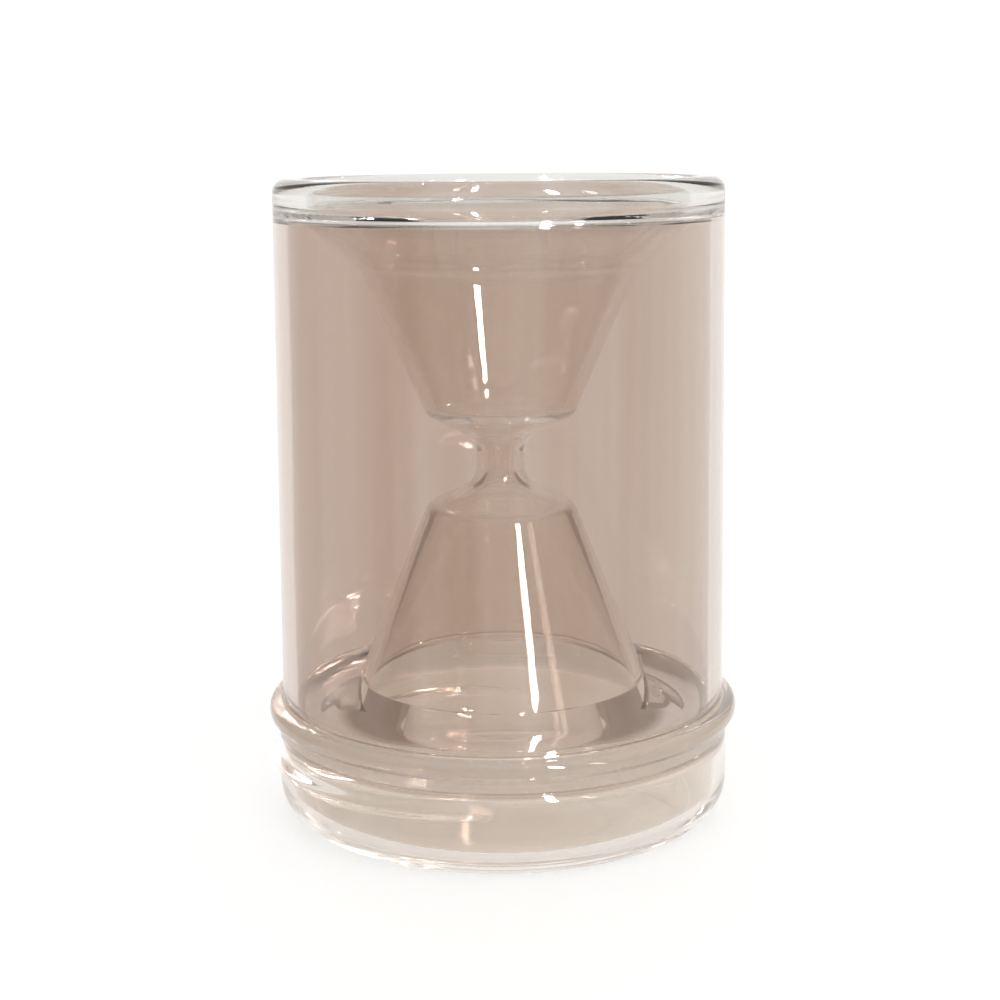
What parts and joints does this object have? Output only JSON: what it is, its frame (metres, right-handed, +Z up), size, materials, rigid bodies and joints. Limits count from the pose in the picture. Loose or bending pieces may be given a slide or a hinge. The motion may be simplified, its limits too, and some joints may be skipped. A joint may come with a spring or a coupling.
{
  "type": "glass hourglass",
  "caption": "Double-walled glass hourglass vessel: a funnel, cup, throat and bell liner fused inside a straight jacket, with a bead, a threaded foot and a closed base.",
  "frame": {"origin": "centre of the base, on the plane that the vessel stands on", "axes": "+Z up along the axis of the vessel, -Y towards the end of the foot's thread"},
  "size_m": [0.088, 0.088, 0.1185],
  "materials": {
    "tinted_glass": "polished, faint beige tint",
    "clear_glass": "polished, near clear"
  },
  "bodies": {
    "root": {"rim_ring": "clear_glass", "outer_jacket": "tinted_glass", "rim_funnel": "tinted_glass", "upper_cup": "tinted_glass", "throat": "tinted_glass", "lower_bell": "tinted_glass", "bell_flange": "tinted_glass", "bead_ring": "tinted_glass", "foot_wall": "clear_glass", "thread_ridge": "clear_glass", "base_floor": "clear_glass"}
  },
  "joints": []
}
